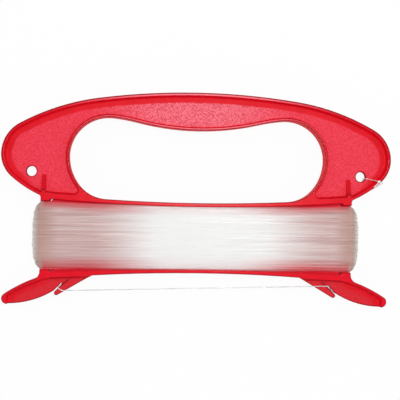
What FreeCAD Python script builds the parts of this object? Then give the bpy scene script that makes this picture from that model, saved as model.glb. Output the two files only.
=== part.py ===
import FreeCAD, Part
import math
import os

import Sketcher

# Kite line winder: a one-piece moulded frame with a hand opening above a line channel, wound with
# monofilament line. The drawing's own frame has X across the winder, Y from the line channel
# towards the grip and Z out of the front face, with Y = 0 at the middle of the channel's upper
# edge. Every sub-part gets the same Placement, which puts the origin under the middle of the
# frame, on the plane that it lies on. The frame is drawn as one quarter and mirrored twice.
# Lengths are in millimetres.

SIZES = {
    # whole frame
    "frame_width": 165.0,
    "frame_depth": 8.0,
    "web_thickness": 2.0,
    "crest_round": 0.4,
    # heights, counted from the channel's upper edge
    "bar_thickness": 1.6,
    "opening_height": 30.8,
    "grip_height": 15.9,
    "channel_height": 26.6,
    "lower_bar_thickness": 1.4,
    "horn_drop": 13.7,
    # rims round the web, with a fillet at their foot
    "rim_width": 1.4,
    "lip_width": 1.0,
    "deck_width": 2.8,
    "root_round": 0.8,
    "recess_corner": 1.8,
    # grip and ears
    "crown_radius": 290.0,
    "crown_end_inset": 40.5,
    "ear_drop": 27.2,
    "ear_overhang": 16.6,
    "ear_upper_radius": 14.8,
    "ear_lower_radius": 12.6,
    "ear_root_radius": 47.0,
    "ear_root_level": 3.0,
    "ear_root_round": 1.2,
    # hand opening
    "opening_inset": 28.1,
    "opening_widest": 19.1,
    "opening_floor_radius": 700.0,
    "opening_floor_end": 15.4,
    "opening_end_radius": 19.7,
    "brow_radius": 73.8,
    "swell_rise": 3.1,
    "swell_end": 28.4,
    # line channel and posts
    "post_width": 3.7,
    "post_depth": 4.4,
    "post_round": 1.5,
    "window_top_radius": 800.0,
    "window_bottom_radius": 1400.0,
    "window_corner": 0.8,
    # horns, slits and hooks
    "horn_reach": 15.6,
    "horn_root_round": 3.5,
    "horn_back_radius": 60.0,
    "horn_belly_radius": 36.0,
    "horn_tip_radius": 2.3,
    "horn_rim_width": 1.3,
    "horn_recess_round": 10.0,
    "slit_end_inset": 9.05,
    "slit_end_level": 5.25,
    "slit_end_radius": 0.32,
    "slit_mouth_inset": 5.95,
    "hook_tip_inset": 6.95,
    "hook_tip_level": 9.15,
    "hook_tip_radius": 0.95,
    "hook_root_inset": 22.0,
    "bar_belly_radius": 685.0,
    # lanyard hole and gusset
    "hole_diameter": 4.2,
    "hole_inset": 12.45,
    "hole_drop": 7.1,
    "gusset_inset": 1.2,
    "gusset_thickness": 1.8,
    "gusset_height": 7.0,
    # line
    "line_diameter": 0.4,
    "winding_thickness": 3.7,
    "winding_edge": 0.3,
    "winding_shoulder": 6.1,
    "winding_clearance": 0.4,
    "knot_radius": 0.55,
    "knot_length": 1.1,
    "knot_round": 0.25,
}

# Routes of the free line, through hand-chosen points of the drawing. The parked tail leaves the
# winding at the back, crosses the lower crossbar behind, comes forward through the left slit, runs
# tight across to the right hook and goes back through the right slit.
TAIL_ROUTE = [
    (-38.0, -23.6, -5.50),
    (-44.3, -25.4, -4.80),
    (-50.0, -27.9, -4.30),
    (-53.9, -31.1, -4.25),
    (-58.15, -34.55, -1.80),
    (-58.4, -34.78, 1.75),
    (-56.85, -36.1, 1.45),
    (56.65, -33.0, 1.75),
    (57.95, -34.35, -0.2),
    (58.9, -35.45, -2.0),
    (61.35, -36.65, -2.5),
]

# The line's inner end is tied round the ear's rim through the lanyard hole, with a knot in front.
KNOT_PLACE = (77.2, 12.05, 4.62)
KNOT_AXIS = (0.95, -0.31, -0.03)
ANCHOR_ROUTE = [
    (78.75, 11.55, 4.46),
    (79.0, 11.35, 3.2),
    (75.85, 8.45, -3.3),
    (75.05, 8.85, -4.42),
    (73.7, 10.45, -4.45),
    (71.45, 12.85, -1.8),
    (71.2, 13.3, 0.0),
    (71.5, 13.4, 1.7),
    (75.5, 12.55, 4.3),
]

# Lengths that follow from the sizes, as expressions for the sketches.
HALF = "Sizes.frame_width / 2"
TOP = "(Sizes.bar_thickness + Sizes.opening_height + Sizes.grip_height)"
EAR_LEVEL = f"({TOP} - Sizes.ear_drop)"
POST_OUTER = f"({HALF} - Sizes.ear_overhang)"
POST_INNER = f"({POST_OUTER} - Sizes.post_width)"
OPENING_TOP = "(Sizes.bar_thickness + Sizes.opening_height)"
OPENING_END = f"({HALF} - Sizes.opening_inset)"
OPENING_LEVEL = "(Sizes.bar_thickness + Sizes.opening_widest)"
SWELL_REACH = f"({OPENING_END} - Sizes.swell_end)"
SWELL_RADIUS = f"(({SWELL_REACH} ^ 2 + Sizes.swell_rise ^ 2) / (2 * Sizes.swell_rise))"
BAR_LEVEL = "(-Sizes.channel_height - Sizes.lower_bar_thickness)"
HORN_LEVEL = f"({BAR_LEVEL} - Sizes.horn_drop)"
WINDING_DEPTH = "(Sizes.post_depth / 2 + Sizes.winding_thickness)"
WINDOW_SIDE = f"({POST_INNER} - Sizes.window_corner)"
POST_TOP = (
    "(Sizes.window_top_radius"
    f" - sqrt((Sizes.window_top_radius + Sizes.window_corner) ^ 2 - {WINDOW_SIDE} ^ 2))"
)
POST_BOTTOM = (
    "(-Sizes.channel_height - Sizes.window_bottom_radius"
    f" + sqrt((Sizes.window_bottom_radius + Sizes.window_corner) ^ 2 - {WINDOW_SIDE} ^ 2))"
)
HORN_TIP = f"({POST_OUTER} + Sizes.horn_reach - Sizes.horn_tip_radius)"

Z = FreeCAD.Vector(0, 0, 1)


def point(x, y, z=0.0):
    return FreeCAD.Vector(x, y, z)


def meet(centre_a, radius_a, centre_b, radius_b, side):
    """The point at both radii, left (side 1) or right (side -1) of the way from centre a to b."""
    way = centre_b - centre_a
    gap = way.Length
    along = (radius_a**2 - radius_b**2 + gap**2) / (2 * gap)
    across = math.sqrt(radius_a**2 - along**2)
    unit = way * (1 / gap)
    return centre_a + unit * along + point(-unit.y, unit.x) * across * side


def on_circle(centre, radius, towards):
    """The point of a circle on the way from its centre towards another point."""
    return centre + (towards - centre) * (radius / (towards - centre).Length)


def linking_radius(start, inwards, centre, radius):
    """Radius of the arc that leaves start, its centre inwards, and runs into the given circle."""
    offset = start - centre
    return (radius**2 - offset.dot(offset)) / (2 * (offset.dot(inwards) + radius))


def tangent_points(centre_a, radius_a, centre_b, radius_b, side):
    """Where the straight that passes between two circles touches each of them."""
    way = centre_b - centre_a
    angle = math.atan2(way.y, way.x) + side * math.acos((radius_a + radius_b) / way.Length)
    normal = point(math.cos(angle), math.sin(angle))
    return centre_a + normal * radius_a, centre_b - normal * radius_b


class Values:
    """The sizes and the lengths that follow from them, as numbers."""

    def __init__(self, sheet):
        for name in SIZES:
            setattr(self, name, float(sheet.get(name)))
        self.half = self.frame_width / 2
        self.half_depth = self.frame_depth / 2
        self.half_web = self.web_thickness / 2
        self.winding_depth = self.post_depth / 2 + self.winding_thickness
        self.top = self.bar_thickness + self.opening_height + self.grip_height
        self.ear_level = self.top - self.ear_drop
        self.post_outer = self.half - self.ear_overhang
        self.post_inner = self.post_outer - self.post_width
        self.opening_top = self.bar_thickness + self.opening_height
        self.opening_end = self.half - self.opening_inset
        self.opening_level = self.bar_thickness + self.opening_widest
        self.swell_reach = self.opening_end - self.swell_end
        self.swell_radius = (self.swell_reach**2 + self.swell_rise**2) / (2 * self.swell_rise)
        self.bar_level = -self.channel_height - self.lower_bar_thickness
        self.horn_level = self.bar_level - self.horn_drop
        self.window_top = point(0, self.window_top_radius)
        self.window_bottom = point(0, -self.channel_height - self.window_bottom_radius)
        self.window_side = self.post_inner - self.window_corner
        reach = math.sqrt((self.window_top_radius + self.window_corner) ** 2 - self.window_side**2)
        self.post_top = self.window_top.y - reach
        reach = math.sqrt((self.window_bottom_radius + self.window_corner) ** 2 - self.window_side**2)
        self.post_bottom = self.window_bottom.y + reach


def origin_plane(body, role):
    return next(part for part in body.Origin.OriginFeatures if part.Role == role)


def flat_sketch(body, name, role):
    sketch = body.newObject("Sketcher::SketchObject", name)
    sketch.AttachmentSupport = [(origin_plane(body, role), "")]
    sketch.MapMode = "FlatFace"
    return sketch


class Chain:
    """A closed chain of lines and arcs in one sketch, each joined to the one before."""

    def __init__(self, body, name, start, role="XY_Plane", height=None):
        self.sketch = flat_sketch(body, name, role)
        if height:
            self.sketch.setExpression("AttachmentOffset.Base.z", height)
        self.at = start
        self.edges = []
        self.sizes = []

    def _add(self, geometry, first, last, end, smooth, sizes):
        index = self.sketch.addGeometry(geometry, False)
        self.edges.append((index, first, last, smooth))
        for kind, where, expression in sizes:
            self.sizes.append((index, kind, where or last, expression))
        self.at = end
        return index

    def line(self, end, smooth=False, sizes=()):
        return self._add(Part.LineSegment(self.at, end), 1, 2, end, smooth, sizes)

    def arc(self, centre, end, turn, smooth=True, sizes=()):
        """An arc to end about centre, turning left (1) or right (-1); smooth into what follows."""
        radius = (end - centre).Length
        start_angle = math.atan2(self.at.y - centre.y, self.at.x - centre.x)
        end_angle = math.atan2(end.y - centre.y, end.x - centre.x)
        first, last = (1, 2) if turn > 0 else (2, 1)
        low, high = (start_angle, end_angle) if turn > 0 else (end_angle, start_angle)
        circle = Part.Circle(centre, Z, radius)
        high = high if high > low else high + 2 * math.pi
        return self._add(Part.ArcOfCircle(circle, low, high), first, last, end, smooth, sizes)

    def close(self):
        """Joins the chain and binds its sizes. A size is (kind, point of the edge, expression)."""
        joints = []
        for here, after in zip(self.edges, self.edges[1:] + self.edges[:1]):
            kind = "Tangent" if here[3] else "Coincident"
            joints.append(Sketcher.Constraint(kind, here[0], here[2], after[0], after[1]))
        self.sketch.addConstraint(joints)
        for index, kind, where, expression in self.sizes:
            self._bind(index, kind, where, expression)
        return self.sketch

    def _bind(self, index, kind, where, expression):
        geometry = self.sketch.Geometry[index]
        if kind == "on_axis":
            self.sketch.addConstraint(Sketcher.Constraint("PointOnObject", index, where, -2))
        elif kind == "upright":
            self.sketch.addConstraint(Sketcher.Constraint("Vertical", index))
        elif kind == "flat":
            self.sketch.addConstraint(Sketcher.Constraint("Horizontal", index))
        elif kind == "level":
            self.sketch.addConstraint(Sketcher.Constraint("Horizontal", index, 3, index, where))
        elif kind == "plumb":
            self.sketch.addConstraint(Sketcher.Constraint("Vertical", index, 3, index, where))
        elif kind == "radius":
            made = Sketcher.Constraint("Radius", index, geometry.Radius)
            self._bound(made, f"radius_{index}", expression)
        else:
            bound = self.sketch.getPoint(index, where)
            value = bound.x if kind == "DistanceX" else bound.y
            made = Sketcher.Constraint(kind, -1, 1, index, where, value)
            self._bound(made, f"{kind.lower()}_{index}_{where}", expression)

    def _bound(self, made, name, expression):
        number = self.sketch.addConstraint(made)
        self.sketch.renameConstraint(number, name)
        self.sketch.setExpression(f"Constraints.{name}", expression)


# A straight that stays upright or flat, and an arc whose end lies level with or plumb over its centre
UPRIGHT, FLAT, LEVEL, PLUMB = [(kind, 0, "") for kind in ("upright", "flat", "level", "plumb")]


def radius(expression):
    return ("radius", 3, expression)


def across(expression, where=0):
    return ("DistanceX", where, expression)


def up(expression, where=0):
    return ("DistanceY", where, expression)


def on_axis(where=0):
    return ("on_axis", where, "")


# ---- outlines of the frame ------------------------------------------------------------------


class EarArcs:
    """Centres and radii of the five arcs from the crown round the ear to its root at the post."""

    def __init__(self, v):
        self.crown = point(0, v.top - v.crown_radius)
        end_x = v.half - v.crown_end_inset
        rise = math.sqrt(v.crown_radius**2 - end_x**2)
        self.crown_end = self.crown + point(end_x, rise)
        self.upper = point(v.half - v.ear_upper_radius, v.ear_level)
        inwards = (self.crown - self.crown_end).normalize()
        self.shoulder_radius = linking_radius(
            self.crown_end, inwards, self.upper, v.ear_upper_radius
        )
        self.shoulder = self.crown_end + inwards * self.shoulder_radius
        self.lower = point(v.half - v.ear_lower_radius, v.ear_level)
        self.root_round = point(v.post_outer + v.ear_root_round, v.ear_root_level)
        self.root = meet(
            self.lower,
            v.ear_root_radius - v.ear_lower_radius,
            self.root_round,
            v.ear_root_radius + v.ear_root_round,
            -1,
        )


class OpeningArcs:
    """Centres and radii of the arcs round the right half of the hand opening."""

    def __init__(self, v):
        self.floor = point(0, v.bar_thickness + v.opening_floor_radius)
        end_x = v.opening_end - v.opening_floor_end
        drop = math.sqrt(v.opening_floor_radius**2 - end_x**2)
        self.floor_end = self.floor + point(end_x, -drop)
        self.low = point(v.opening_end - v.opening_end_radius, v.opening_level)
        inwards = (self.floor - self.floor_end).normalize()
        self.link_radius = linking_radius(self.floor_end, inwards, self.low, v.opening_end_radius)
        self.link = self.floor_end + inwards * self.link_radius
        self.swell = point(0, v.opening_top + v.swell_radius)
        self.swell_end = point(v.swell_reach, v.opening_top + v.swell_rise)
        outwards = (self.swell_end - self.swell).normalize()
        self.brow = self.swell_end + outwards * v.brow_radius
        end = point(v.opening_end, v.opening_level)
        self.lobe_radius = linking_radius(end, point(-1, 0), self.brow, v.brow_radius)
        self.lobe = end - point(self.lobe_radius, 0)


class HornArcs:
    """Centres of the arcs round the horn, the slit and the hook beside it."""

    def __init__(self, v):
        root_level = v.window_bottom.y + math.sqrt(v.window_bottom_radius**2 - v.post_inner**2)
        self.root_level = root_level
        self.root = point(v.post_outer + v.horn_root_round, root_level)
        tip_x = v.post_outer + v.horn_reach - v.horn_tip_radius
        self.tip = point(tip_x, v.horn_level + v.horn_tip_radius)
        self.back = meet(
            self.root,
            v.horn_back_radius + v.horn_root_round,
            self.tip,
            v.horn_back_radius - v.horn_tip_radius,
            -1,
        )
        self.belly = point(tip_x, v.horn_level + v.horn_belly_radius)
        mouth_x = v.post_outer - v.slit_mouth_inset
        drop = math.sqrt(v.horn_belly_radius**2 - (tip_x - mouth_x) ** 2)
        self.mouth = self.belly + point(mouth_x - tip_x, -drop)
        self.slit = point(v.post_outer - v.slit_end_inset, v.bar_level - v.slit_end_level)
        self.hook = point(v.post_outer - v.hook_tip_inset, v.bar_level - v.hook_tip_level)
        self.belly_of_bar = point(0, v.bar_level - v.bar_belly_radius)
        hook_root_x = v.post_outer - v.hook_root_inset
        rise = math.sqrt(v.bar_belly_radius**2 - hook_root_x**2)
        self.hook_root = self.belly_of_bar + point(hook_root_x, rise)


def touch_from(start, centre, circle_radius, side):
    """Where the straight from start touches a circle, on the left (1) or right (-1) of it."""
    way = centre - start
    reach = math.sqrt(way.Length**2 - circle_radius**2)
    return meet(start, reach, centre, circle_radius, side)


def silhouette(body, v):
    """Everything inside the right half's outer edge."""
    ear, horn = EarArcs(v), HornArcs(v)
    chain = Chain(body, "Silhouette", point(0, v.top))
    chain.arc(
        ear.crown,
        ear.crown_end,
        -1,
        sizes=[
            on_axis(3),
            up(TOP, 2),
            radius("Sizes.crown_radius"),
            across(f"{HALF} - Sizes.crown_end_inset"),
        ],
    )
    shoulder_end = on_circle(ear.shoulder, ear.shoulder_radius, ear.upper)
    chain.arc(ear.shoulder, shoulder_end, -1)
    chain.arc(
        ear.upper,
        point(v.half, v.ear_level),
        -1,
        sizes=[radius("Sizes.ear_upper_radius"), across(HALF), up(EAR_LEVEL), LEVEL],
    )
    lower_end = on_circle(ear.root, v.ear_root_radius, ear.lower)
    chain.arc(ear.lower, lower_end, -1, sizes=[radius("Sizes.ear_lower_radius")])
    root_end = on_circle(ear.root, v.ear_root_radius, ear.root_round)
    chain.arc(ear.root, root_end, -1, sizes=[radius("Sizes.ear_root_radius")])
    post_top = point(v.post_outer, v.ear_root_level)
    chain.arc(
        ear.root_round,
        post_top,
        1,
        sizes=[radius("Sizes.ear_root_round"), across(POST_OUTER), up("Sizes.ear_root_level")],
    )
    chain.line(point(v.post_outer, horn.root_level), True, [UPRIGHT])
    root_out = on_circle(horn.root, v.horn_root_round, horn.back)
    chain.arc(horn.root, root_out, 1, sizes=[radius("Sizes.horn_root_round")])
    back_end = on_circle(horn.back, v.horn_back_radius, horn.tip)
    chain.arc(horn.back, back_end, -1, sizes=[radius("Sizes.horn_back_radius")])
    chain.arc(
        horn.tip,
        point(horn.tip.x, v.horn_level),
        -1,
        sizes=[
            radius("Sizes.horn_tip_radius"),
            across(HORN_TIP),
            up(HORN_LEVEL),
            PLUMB,
        ],
    )
    mouth = [radius("Sizes.horn_belly_radius"), across(f"{POST_OUTER} - Sizes.slit_mouth_inset")]
    chain.arc(horn.belly, horn.mouth, -1, False, mouth)
    slit_near = touch_from(horn.mouth, horn.slit, v.slit_end_radius, -1)
    chain.line(slit_near, True)
    slit_far, hook_top = tangent_points(
        horn.slit, v.slit_end_radius, horn.hook, v.hook_tip_radius, -1
    )
    slit_sizes = [
        radius("Sizes.slit_end_radius"),
        across(f"{POST_OUTER} - Sizes.slit_end_inset", 3),
        up(f"{BAR_LEVEL} - Sizes.slit_end_level", 3),
    ]
    chain.arc(horn.slit, slit_far, 1, sizes=slit_sizes)
    chain.line(hook_top, True)
    hook_low = touch_from(horn.hook_root, horn.hook, v.hook_tip_radius, -1)
    hook_sizes = [
        radius("Sizes.hook_tip_radius"),
        across(f"{POST_OUTER} - Sizes.hook_tip_inset", 3),
        up(f"{BAR_LEVEL} - Sizes.hook_tip_level", 3),
    ]
    chain.arc(horn.hook, hook_low, -1, sizes=hook_sizes)
    chain.line(horn.hook_root, False, [across(f"{POST_OUTER} - Sizes.hook_root_inset")])
    belly = [on_axis(3), radius("Sizes.bar_belly_radius"), on_axis(0), up(BAR_LEVEL)]
    chain.arc(horn.belly_of_bar, point(0, v.bar_level), 1, False, belly)
    chain.line(point(0, v.top), False, [on_axis(0)])
    return chain.close()


def hand_opening(body, v):
    """The right half of the hand opening."""
    arcs = OpeningArcs(v)
    chain = Chain(body, "HandOpening", point(0, v.bar_thickness))
    floor = [
        on_axis(3),
        on_axis(1),
        up("Sizes.bar_thickness", 1),
        radius("Sizes.opening_floor_radius"),
        across(f"{OPENING_END} - Sizes.opening_floor_end"),
    ]
    chain.arc(arcs.floor, arcs.floor_end, 1, sizes=floor)
    chain.arc(arcs.link, on_circle(arcs.low, v.opening_end_radius, arcs.link), 1)
    end = point(v.opening_end, v.opening_level)
    low = [radius("Sizes.opening_end_radius"), across(OPENING_END), up(OPENING_LEVEL)]
    chain.arc(arcs.low, end, 1, sizes=low + [LEVEL])
    chain.arc(arcs.lobe, on_circle(arcs.brow, v.brow_radius, arcs.lobe), 1)
    chain.arc(arcs.brow, arcs.swell_end, 1, sizes=[radius("Sizes.brow_radius")])
    swell = [
        on_axis(3),
        on_axis(0),
        up(OPENING_TOP),
        radius(SWELL_RADIUS),
        across(SWELL_REACH, 2),
    ]
    chain.arc(arcs.swell, point(0, v.opening_top), -1, False, swell)
    chain.line(point(0, v.bar_thickness))
    return chain.close()


def channel_window(body, v):
    """The right half of the window between the posts, which the winding spans."""
    chain = Chain(body, "ChannelWindow", point(0, 0))
    high = point(v.window_side, v.post_top)
    low = point(v.window_side, v.post_bottom)
    top = [on_axis(3), on_axis(1), up("0", 1), radius("Sizes.window_top_radius")]
    chain.arc(v.window_top, on_circle(v.window_top, v.window_top_radius, high), 1, sizes=top)
    rounded = [radius("Sizes.window_corner")]
    chain.arc(high, point(v.post_inner, high.y), -1, sizes=rounded + [across(POST_INNER)])
    chain.line(point(v.post_inner, low.y), True, [UPRIGHT])
    chain.arc(low, on_circle(low, v.window_corner, v.window_bottom), -1, sizes=rounded)
    bottom = [
        on_axis(3),
        on_axis(0),
        up("-Sizes.channel_height"),
        radius("Sizes.window_bottom_radius"),
    ]
    chain.arc(v.window_bottom, point(0, -v.channel_height), 1, False, bottom)
    chain.line(point(0, 0))
    return chain.close()


def grip_recess(body, v):
    """The right half of the recess in the grip and ear, between the rim, the lip and the deck."""
    ear, opening = EarArcs(v), OpeningArcs(v)
    rim_v, lip_v, deck_v = v.rim_width, v.lip_width, v.deck_width
    inset, spread, rise = "Sizes.rim_width", "Sizes.lip_width", "Sizes.deck_width"
    chain = Chain(body, "GripOutline", point(0, v.top - rim_v), height="Sizes.frame_depth / 2")

    def inside(centre, outer_radius, towards):
        return on_circle(centre, outer_radius - rim_v, towards)

    crown = [
        on_axis(3),
        on_axis(2),
        up(f"{TOP} - {inset}", 2),
        radius(f"Sizes.crown_radius - {inset}"),
    ]
    chain.arc(ear.crown, inside(ear.crown, v.crown_radius, ear.crown_end), -1, sizes=crown)
    shoulder_end = inside(ear.shoulder, ear.shoulder_radius, ear.upper)
    chain.arc(ear.shoulder, shoulder_end, -1)
    upper = [radius(f"Sizes.ear_upper_radius - {inset}"), across(f"{HALF} - {inset}"), up(EAR_LEVEL)]
    chain.arc(ear.upper, point(v.half - rim_v, v.ear_level), -1, sizes=upper + [LEVEL])
    lower_end = inside(ear.root, v.ear_root_radius, ear.lower)
    chain.arc(ear.lower, lower_end, -1, sizes=[radius(f"Sizes.ear_lower_radius - {inset}")])
    corner = v.recess_corner
    deck_radius = v.window_top_radius - deck_v
    root_radius = v.ear_root_radius - rim_v
    out = meet(ear.root, root_radius - corner, v.window_top, deck_radius - corner, -1)
    root = [radius(f"Sizes.ear_root_radius - {inset}")]
    chain.arc(ear.root, on_circle(ear.root, root_radius, out), -1, sizes=root)
    rounded = [radius("Sizes.recess_corner")]
    chain.arc(out, on_circle(v.window_top, deck_radius, out), -1, sizes=rounded)
    low_radius = v.opening_end_radius + lip_v
    inner = meet(v.window_top, deck_radius - corner, opening.low, low_radius + corner, 1)
    floor = [on_axis(3), radius(f"Sizes.window_top_radius - {rise}")]
    chain.arc(v.window_top, on_circle(v.window_top, deck_radius, inner), -1, sizes=floor)
    chain.arc(inner, on_circle(opening.low, low_radius, inner), -1, sizes=rounded)
    low = [
        radius(f"Sizes.opening_end_radius + {spread}"),
        across(f"{OPENING_END} + {spread}"),
        up(OPENING_LEVEL),
        LEVEL,
    ]
    chain.arc(opening.low, point(v.opening_end + lip_v, v.opening_level), 1, sizes=low)
    chain.arc(opening.lobe, on_circle(opening.brow, v.brow_radius + lip_v, opening.lobe), 1)
    brow_end = on_circle(opening.swell, v.swell_radius - lip_v, opening.swell_end)
    chain.arc(opening.brow, brow_end, 1, sizes=[radius(f"Sizes.brow_radius + {spread}")])
    swell = [
        on_axis(3),
        on_axis(0),
        up(f"{OPENING_TOP} + {spread}"),
        radius(f"{SWELL_RADIUS} - {spread}"),
    ]
    chain.arc(opening.swell, point(0, v.opening_top + lip_v), -1, False, swell)
    chain.line(point(0, v.top - rim_v))
    return chain.close()


def horn_recess(body, v):
    """The recess below the deck and the horn's upper rim, up to its tip and open at the bottom."""
    horn = HornArcs(v)
    clear = 3.0
    deck_radius = v.window_bottom_radius - v.deck_width
    rim_radius = v.horn_back_radius - v.horn_rim_width
    start_x = v.post_outer - v.hook_root_inset - clear
    start = v.window_bottom + point(start_x, math.sqrt(deck_radius**2 - start_x**2))
    chain = Chain(body, "HornOutline", start, height="Sizes.frame_depth / 2")
    bend = v.horn_recess_round
    knee = meet(v.window_bottom, deck_radius - bend, horn.back, rim_radius - bend, -1)
    deck_sizes = [
        on_axis(3),
        radius("Sizes.window_bottom_radius - Sizes.deck_width"),
        across(f"{POST_OUTER} - Sizes.hook_root_inset - {clear}", 2),
    ]
    knee_start = on_circle(v.window_bottom, deck_radius, knee)
    chain.arc(v.window_bottom, knee_start, -1, sizes=deck_sizes)
    knee_end = on_circle(horn.back, rim_radius, knee)
    chain.arc(knee, knee_end, -1, sizes=[radius("Sizes.horn_recess_round")])
    run = horn.tip.x - horn.back.x
    rim_end = horn.back + point(run, math.sqrt(rim_radius**2 - run**2))
    rim_sizes = [radius("Sizes.horn_back_radius - Sizes.horn_rim_width"), across(HORN_TIP)]
    chain.arc(horn.back, rim_end, -1, False, rim_sizes)
    floor = v.horn_level - clear
    chain.line(point(horn.tip.x, floor), False, [UPRIGHT])
    chain.line(point(start_x, floor), False, [up(f"{HORN_LEVEL} - {clear}")])
    chain.line(start, False, [UPRIGHT])
    return chain.close()


def box_profile(body, name, low, high, height):
    """A rectangle from low to high; each corner is (x, y, x expression, y expression)."""
    chain = Chain(body, name, point(low[0], low[1]), height=height)
    chain.line(point(high[0], low[1]), sizes=[FLAT])
    chain.line(point(high[0], high[1]), sizes=[UPRIGHT, across(high[2]), up(high[3])])
    chain.line(point(low[0], high[1]), sizes=[FLAT])
    chain.line(point(low[0], low[1]), sizes=[UPRIGHT, across(low[2]), up(low[3])])
    return chain.close()


def feature(doc, body, kind, name, profile, **settings):
    """A PartDesign feature; a setting whose value is text starting with "=" is an expression."""
    made = body.newObject(f"PartDesign::{kind}", name)
    if profile is not None:
        made.Profile = profile
    for key, value in settings.items():
        if isinstance(value, str) and value.startswith("="):
            made.setExpression(key, value[1:])
        else:
            setattr(made, key, value)
    doc.recompute()
    return made


def edges_where(shape, test):
    return [f"Edge{i}" for i, edge in enumerate(shape.Edges, 1) if test(edge)]


def row_placement(v):
    """The frame's middle goes over the origin, and the winding's back onto the ground plane."""
    middle = point(0, -(v.top + v.horn_level) / 2, v.winding_depth)
    return FreeCAD.Placement(middle, FreeCAD.Rotation())


def bind_placement(obj):
    obj.setExpression("Placement.Base.y", f"-({TOP} + {HORN_LEVEL}) / 2")
    obj.setExpression("Placement.Base.z", WINDING_DEPTH)


def winder_frame(doc, v):
    """The moulded frame: grip, ears, posts, decks, horns and hooks in one piece."""
    body = doc.addObject("PartDesign::Body", "Frame")
    body.Label = "winder_frame"
    half_depth = "=Sizes.frame_depth / 2"
    feature(doc, body, "Pad", "FrameBlank", silhouette(body, v), Length=half_depth)
    through = {"Length": half_depth, "Reversed": True}
    feature(doc, body, "Pocket", "OpeningCut", hand_opening(body, v), **through)
    feature(doc, body, "Pocket", "WindowCut", channel_window(body, v), **through)
    to_web = {"Length": "=(Sizes.frame_depth - Sizes.web_thickness) / 2"}
    feature(doc, body, "Pocket", "GripRecess", grip_recess(body, v), **to_web)
    feature(doc, body, "Pocket", "HornRecess", horn_recess(body, v), **to_web)
    fill_roots(doc, body, v)
    cut_posts(doc, body, v)
    add_gusset(doc, body, v)
    drill_hole(doc, body, v)
    round_edges(doc, body, v)
    for role in ("XY_Plane", "YZ_Plane"):
        made = body.newObject("PartDesign::Mirrored", f"Mirror{role[:2]}")
        made.TransformMode = "Whole shape"
        made.MirrorPlane = (origin_plane(body, role), [""])
        body.Tip = made
        doc.recompute()
    bind_placement(body)
    return body


def cut_posts(doc, body, v):
    """Brings the post down to its own depth between the decks, which hold the winding in."""
    clear = 3.0
    profile = box_profile(
        body,
        "PostCut",
        (v.post_inner - clear, v.post_bottom, f"{POST_INNER} - {clear}", POST_BOTTOM),
        (v.half, v.post_top, HALF, POST_TOP),
        height="Sizes.frame_depth / 2",
    )
    depth = "=(Sizes.frame_depth - Sizes.post_depth) / 2"
    feature(doc, body, "Pocket", "PostRecess", profile, Length=depth)
    front = v.post_depth / 2

    def along_front(edge):
        ends = [vertex.Point for vertex in edge.Vertexes]
        flat = all(abs(end.z - front) < 1e-4 for end in ends)
        level = abs(ends[0].x - ends[-1].x) < 1e-4
        return flat and level and v.post_inner - 1e-3 < ends[0].x < v.post_outer + 1e-3

    names = edges_where(body.Shape, along_front)
    base = (body.Tip, names)
    feature(doc, body, "Fillet", "PostRound", None, Base=base, Radius="=Sizes.post_round")


def add_gusset(doc, body, v):
    """The rib that carries each post's pull into the ear's web."""
    chain = Chain(body, "GussetSide", point(v.ear_root_level, v.half_web), "YZ_Plane")
    chain.sketch.setExpression("AttachmentOffset.Base.z", f"{POST_OUTER} - Sizes.gusset_inset")
    reach = v.ear_root_level + v.deck_width + v.gusset_height
    reach_size = "Sizes.ear_root_level + Sizes.deck_width + Sizes.gusset_height"
    web_size, crest_size = "Sizes.web_thickness / 2", "Sizes.frame_depth / 2"
    chain.line(point(reach, v.half_web), sizes=[across(reach_size), up(web_size)])
    crest = v.ear_root_level + v.deck_width
    crest_y = "Sizes.ear_root_level + Sizes.deck_width"
    chain.line(point(crest, v.half_depth), sizes=[across(crest_y), up(crest_size)])
    foot = v.ear_root_level
    foot_size = across("Sizes.ear_root_level")
    chain.line(point(foot, v.half_depth), sizes=[foot_size, up(crest_size)])
    chain.line(point(foot, v.half_web), sizes=[foot_size, up(web_size)])
    profile = chain.close()
    feature(doc, body, "Pad", "Gusset", profile, SideType="Symmetric", Length="=Sizes.gusset_thickness")


def drill_hole(doc, body, v):
    """The lanyard hole in the ear's web."""
    sketch = flat_sketch(body, "HoleCircle", "XY_Plane")
    centre = point(v.half - v.hole_inset, v.ear_level - v.hole_drop)
    sketch.addGeometry(Part.Circle(centre, Z, v.hole_diameter / 2), False)
    centre_x = Sketcher.Constraint("DistanceX", -1, 1, 0, 3, centre.x)
    centre_y = Sketcher.Constraint("DistanceY", -1, 1, 0, 3, centre.y)
    diameter = Sketcher.Constraint("Diameter", 0, v.hole_diameter)
    bound = [
        ("across", centre_x, f"{HALF} - Sizes.hole_inset"),
        ("up", centre_y, f"{EAR_LEVEL} - Sizes.hole_drop"),
        ("diameter", diameter, "Sizes.hole_diameter"),
    ]
    for name, constraint, expression in bound:
        sketch.renameConstraint(sketch.addConstraint(constraint), name)
        sketch.setExpression(f"Constraints.{name}", expression)
    depth = "=Sizes.frame_depth / 2"
    feature(doc, body, "Pocket", "LanyardHole", sketch, Length=depth, Reversed=True)


def fill_roots(doc, body, v):
    """Fillets the foot of every rim, where it stands on the web."""
    shape = body.Shape
    foot = v.half_web
    rising = set()
    for face in shape.Faces:
        if face.BoundBox.ZMax > foot + 0.1 and face.BoundBox.ZMin > foot - 0.1:
            rising.update(edge.hashCode() for edge in face.Edges)

    def at_foot(edge):
        box = edge.BoundBox
        flat = abs(box.ZMin - foot) < 1e-3 and abs(box.ZMax - foot) < 1e-3
        return flat and box.XMax > 1e-3 and edge.hashCode() in rising

    names = edges_where(shape, at_foot)
    base = (body.Tip, names)
    feature(doc, body, "Fillet", "RootRound", None, Base=base, Radius="=Sizes.root_round")


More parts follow.
